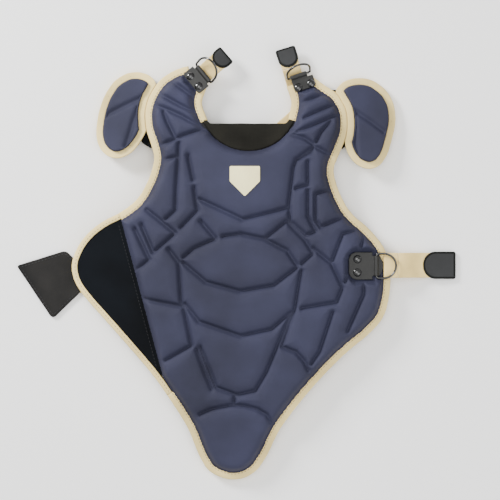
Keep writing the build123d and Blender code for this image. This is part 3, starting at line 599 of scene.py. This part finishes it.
def thickened(amount, then):
    """Skin grown outwards, to cover what it wraps."""
    def shape(co, normals):
        return then(co, normals) + normals * amount
    return shape


def creased(grooves, depth, width, then):
    """Sewn grooves pressed into a pad's upper side."""
    def shape(co, normals):
        co = then(co, normals)
        for groove in grooves:
            away = distance_to(co, rounded(groove, closed=False))
            press = depth * np.exp(-(away / width) ** 2) * np.clip(normals[:, 2], 0, 1)
            co = co - normals * press[:, None]
        return co
    return shape


def face_edges(points):
    """For each point in plan: its depth inside the face, and inside the part of it that shows."""
    x, y = points[:, 0], points[:, 1]
    rim = depth_inside(points, rounded(BODY))
    notch = -depth_inside(points, rounded(NECK, radii=NECK_SOFTEN))
    run = np.array(SEAM_END) - np.array(SEAM_TOP)
    across = np.array([-run[1], run[0]]) / np.linalg.norm(run)
    seam = (points - np.array(SEAM_TOP)) @ across - SEAM_GAP
    throat = np.hypot(x - THROAT_CENTRE[0], y - THROAT_CENTRE[1]) - THROAT_RADIUS
    throat = np.maximum(throat, y - THROAT_TOP)
    ends = np.full(len(points), np.inf)
    for base, heading, reach in SHOULDER_ENDS:
        ahead = np.array([math.cos(math.radians(heading)), math.sin(math.radians(heading))])
        gone, off = (points - base) @ ahead, (points - base) @ np.array([-ahead[1], ahead[0]])
        ends = np.minimum(ends, np.where(np.abs(off) < SHOULDER_END_HALF, reach - gone, np.inf))
    inside = np.minimum.reduce([rim - FACE_UNDER_TAPE, notch - FACE_UNDER_TAPE, seam, throat, ends])
    visible = np.minimum.reduce([rim - TAPE_WIDTH, notch - TAPE_WIDTH, seam, throat])
    return inside, visible


def ceiling_under_hardware(points, shape, step):
    """Highest the face may rise: under each tab and ring, and climbing away from them at a steady slope."""
    room = np.full(len(points), np.inf)
    for node in NODES:
        if node.endswith(("_tab", "_ring")):
            tree = tree_of(NODES[node].data)
            low, high = [np.array(corner[:2]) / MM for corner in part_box(node)]
            near = (points > low - HARDWARE_MARGIN) & (points < high + HARDWARE_MARGIN)
            for i in np.nonzero(near.all(axis=1))[0]:
                x, y = points[i]
                hit = tree.ray_cast(Vector((x, y, BELOW_ALL)), Vector((0, 0, 1)))[0]
                if hit is not None:
                    room[i] = min(room[i], hit.z - HARDWARE_AIR - underside(x, y))
    room = room.reshape(shape)
    for lap in range(int(FACE_TOP / (WALL_SLOPE * step)) + 2):
        climb = 0.0 if lap == 0 else WALL_SLOPE * step
        for axis in (0, 1):
            for way in (1, -1):
                room = np.minimum(room, np.roll(room, way, axis) + climb)
    return room.ravel()


def face_grid(step):
    """A square grid in plan, its points beside the face's edge moved onto it, and which ones the face has."""
    low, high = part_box("front_cover")
    across = np.arange(low.x / MM - FACE_MARGIN, high.x / MM + FACE_MARGIN, step)
    along = np.arange(low.y / MM - FACE_MARGIN, high.y / MM + FACE_MARGIN, step)
    grid = np.stack(np.meshgrid(across, along, indexing="ij"), -1)
    shape = grid.shape[:2]
    points = grid.reshape(-1, 2)
    inside = face_edges(points)[0]
    slope = np.gradient(inside.reshape(shape), step)
    steep = np.maximum(np.hypot(*slope), LEAST_SLOPE)
    keep = inside > -SNAP_OUT * step
    snap = keep & (inside < SNAP_IN * step)
    move = np.stack([slope[0] / steep, slope[1] / steep], -1).reshape(-1, 2)
    return np.where(snap[:, None], points - move * inside[:, None], points), keep.reshape(shape)


def face_heights(points, shape, step):
    """The face's offsets from the underside: risen from its edge, pressed in at grooves, low by hardware."""
    visible = face_edges(points)[1]
    away = np.minimum.reduce([distance_to(points, groove) for groove in GROOVES])
    rise = 1 - np.exp(-(np.clip(visible, 0, None) / RISE_REACH) ** RISE_POWER)
    press = (GROOVE_DEPTH * np.exp(-(away / GROOVE_WIDTH) ** 2)
             + PILLOW_DEPTH * np.exp(-(away / PILLOW_WIDTH) ** 2))
    height = FACE_SKIN + rise * (FACE_TOP - FACE_SKIN - press)
    ceiling = np.maximum(ceiling_under_hardware(points, shape, step), FACE_BACK + THINNEST_FACE)
    return np.minimum(height, ceiling)


def moulded_face():
    """The navy face: a height field over the dome, pillowed between its grooves, with a back and a wall."""
    step = FACE_STEP * 1
    points, keep = face_grid(step)
    columns, total = keep.shape[1], len(points)
    verts = []
    for offsets in (face_heights(points, keep.shape, step), np.full(total, FACE_BACK)):
        for (x, y), up in zip(points, offsets):
            verts.append(Vector((x, y, underside(x, y))) + dome_normal(x, y) * float(up))
    cells = keep[:-1, :-1] & keep[1:, :-1] & keep[:-1, 1:] & keep[1:, 1:]
    faces, walls = [], {}       # a wall stands on each edge that only one cell has
    for i, j in zip(*np.nonzero(cells)):
        ring = [int(i * columns + j), int((i + 1) * columns + j),
                int((i + 1) * columns + j + 1), int(i * columns + j + 1)]
        faces += [ring, [total + k for k in reversed(ring)]]
        for a, b in zip(ring, ring[1:] + ring[:1]):
            if (b, a) in walls:
                del walls[(b, a)]
            else:
                walls[(a, b)] = True
    faces += [[b, a, total + a, total + b] for a, b in walls]
    used = sorted({k for face in faces for k in face})
    place = {k: n for n, k in enumerate(used)}
    piece = make("face_padding", [verts[k] for k in used], [[place[k] for k in f] for f in faces],
                 "shell")
    piece.data.materials.append(NAVY)
    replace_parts(piece, "front_cover", "molded_foam")


moulded_face()
grown("body_lining", ["back_liner", "rebound_foam"], voxel=2.0, rounds=2, material=LINING,
      shape=wrinkled(0.12, 7.0))
grown("throat_cushion", ["throat_pad"], voxel=1.3, rounds=5, material=THROAT,
      shape=wrinkled(0.25, 8.0))
grown("wing_panel", ["wing_face", "wing_foam", "wing_lining"], voxel=1.6, rounds=4,
      material=WING, shape=wrinkled(0.3, 13.0))
for side in ("left_cap", "right_cap"):
    grown(f"{side}_pad", [f"{side}_cover", f"{side}_foam"], voxel=1.2, rounds=7,
          material=NAVY,
          shape=creased(CAP_GROOVES[side], CAP_GROOVE_DEPTH, CAP_GROOVE_WIDTH, wrinkled(0.2, 8.0)))
    grown(f"{side}_lining", [f"{side}_backing"], voxel=0.8, rounds=1, material=LINING,
          shape=wrinkled(0.05, 7.0))
    grown(f"{side}_tape", [f"{side}_binding"], voxel=0.4, rounds=3, material=TAN,
          shape=thickened(CAP_TAPE_SKIN, wrinkled(0.14, 4.0)))
    grown(f"{side}_web", [f"{side}_gusset"], voxel=0.7, rounds=1, material=WING,
          shape=wrinkled(0.15, 5.0))


# ---------------------------------------------------------------- edge tape and its stitching
def pucker(station):
    """Small waviness of sewn tape along its run."""
    return 0.16 * math.sin(station * 1.9) + 0.1 * math.sin(station * 0.7 + 1)


def taped(node, outline, width, edge, lift, radii=None, outside=False, swept=True):
    """Thread along the stretch of an outline that a binding node covers, and its tape if that is swept."""
    stations = edge_runs(outline, node, (edge[0] + edge[1]) / 2, lift, radii, outside)
    body = BODY_OF[node]
    if swept:
        pulled = [(point + inward * (TAPE_INSET + pucker(i) / 2), inward, up)
                  for i, (point, inward, up) in enumerate(stations)]
        sweep(f"{node}_tape", pulled, tape_section(width, *edge), body, TAN, [node])
    rows = [list(point + inward * (width - STITCH_FROM_LAP) + up * (edge[1] + STITCH_LIFT)) + list(up)
            for point, inward, up in stations]
    stitches(f"{node}_stitching", stitch_spots(rows), body, THREAD)


def spread(rows):
    """Rows of place and direction, respaced evenly along their places."""
    data = np.array(rows, float)
    reach = np.concatenate([[0], np.cumsum(np.linalg.norm(np.diff(data[:, :3], axis=0), axis=1))])
    where = np.arange(0, reach[-1], STITCH_PITCH)
    return np.stack([np.interp(where, reach, data[:, k]) for k in range(data.shape[1])], 1)


def stitch_spots(rows):
    """Middle, direction and up of each stitch along rows of place and up."""
    line = spread(rows)
    return [(Vector((a[:3] + b[:3]) / 2), Vector(b[:3] - a[:3]).normalized(), Vector(a[3:6]))
            for a, b in zip(line, line[1:])]


taped("left_arm_binding", BODY, TAPE_WIDTH, SHELL_EDGE, dome_lift)
taped("lower_binding", BODY, TAPE_WIDTH, SHELL_EDGE, dome_lift)
taped("left_neck_binding", NECK, TAPE_WIDTH, SHELL_EDGE, dome_lift, NECK_SOFTEN, outside=True)
taped("right_neck_binding", NECK, TAPE_WIDTH, SHELL_EDGE, dome_lift, NECK_SOFTEN, outside=True)
taped("wing_binding", BODY, WING_TAPE_WIDTH, WING_EDGE, dome_lift)
taped("left_cap_binding", LEFT_CAP, CAP_TAPE_WIDTH, CAP_EDGE, plane_lift("left_cap_backing"), swept=False)
taped("right_cap_binding", RIGHT_CAP, CAP_TAPE_WIDTH, CAP_EDGE, plane_lift("right_cap_backing"), swept=False)

# ---------------------------------------------------------------- harness
for node in sorted(NODES):
    for ending, (voxel, rounds, slot, finish) in EASED.items():
        if node.endswith(ending):
            grown(f"{node}_piece", [node], voxel, rounds, finish, shape=wrinkled(0.05, 3.0))
    for ending, finish in KEPT.items():
        if node.endswith(ending):
            NODES[node].data.materials.clear()
            NODES[node].data.materials.append(finish)
grown("back_patch", ["back_patch_face", "back_patch_lining"], voxel=0.9, rounds=2,
      material=PATCH_HIDE, shape=wrinkled(0.12, 9.0))


# ---------------------------------------------------------------- seam and hem threads
def top_of(piece_name):
    """Surface point and normal straight down onto a piece, in millimetres."""
    tree = tree_of(bpy.data.objects[piece_name].data)
    return lambda x, y: tree.ray_cast(Vector((x, y, ABOVE_ALL)), Vector((0, 0, -1)))[:2]


def thread_on(name, piece_name, path, finish):
    """Stitches that lie on a piece's upper side along a path in plan."""
    onto, rows = top_of(piece_name), []
    for x, y in resample(path, STATION_STEP):
        place, up = onto(x, y)
        if place is not None:
            rows.append(list(place + up * THREAD_LIFT) + list(up))
    stitches(name, stitch_spots(rows), BODY_OF[bpy.data.objects[piece_name]["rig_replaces"][0]], finish)


def inset(points, amount):
    """Corners of a convex outline, with every side moved in by an amount."""
    corners = []
    for i, point in enumerate(points):
        here = Vector(point)
        back = (Vector(points[i - 1]) - here).normalized()
        ahead = (Vector(points[(i + 1) % len(points)]) - here).normalized()
        corners.append(here + (back + ahead).normalized() * amount / math.sin(back.angle(ahead) / 2))
    return corners


def seam_web():
    """Black strip behind the wing's seam, which closes the seam while the wing lies flat."""
    top, run = Vector(SEAM_TOP), Vector(SEAM_END) - Vector(SEAM_TOP)
    inward = Vector((-run.y, run.x)).normalized()
    count = int(run.length / STATION_STEP)
    stations = []
    for i in range(1, count):
        spot = top + run * (i / count) - inward * WEB_REACH
        level = Vector((spot.x, spot.y, underside(spot.x, spot.y)))
        stations.append((level, Vector((*inward, 0)), dome_normal(spot.x, spot.y)))
    sweep("wing_seam_web", stations, tape_section(2 * WEB_REACH, *WEB_LEVELS), "shell", WING)


def loop_and_shade_pad():
    """Black loop that carries the side ring, over the edge tape; its outer part is a black patch painted as
    the shadow inside the ring.
    """
    outline = [Vector(p) for p in rounded(SIDE_LOOP_AND_SHADE)]
    middle = sum(outline, Vector((0, 0))) / len(outline)
    verts, size = [], len(outline)
    for drawn_in, height in LOOP_RINGS:
        for p in outline:
            spot = p + (middle - p).normalized() * drawn_in
            verts.append(Vector((spot.x, spot.y, height)))
    faces = [[r * size + i, r * size + (i + 1) % size, (r + 1) * size + (i + 1) % size, (r + 1) * size + i]
             for r in range(len(LOOP_RINGS) - 1) for i in range(size)]
    faces += [list(reversed(range(size))), [(len(LOOP_RINGS) - 1) * size + i for i in range(size)]]
    piece = make("side_loop_pad", verts, faces, "shell")
    # dark leather colour on the whole pad, so its outer part paints the shadow inside the ring
    piece.data.materials.append(LEATHER)


def seam_thread():
    """Stitches on the wing, beside its seam."""
    run = Vector(SEAM_END) - Vector(SEAM_TOP)
    start = Vector(SEAM_TOP) + Vector((run.y, -run.x)).normalized() * SEAM_THREAD_ASIDE
    path = [start + run * share for share in SEAM_THREAD_SPAN]
    thread_on("wing_seam_stitching", "wing_panel", path, DARK_THREAD)


seam_web()
loop_and_shade_pad()
seam_thread()
hem = inset(PATCH, PATCH_HEM)
thread_on("patch_hem_stitching", "back_patch", hem + hem[:1], DARK_THREAD)
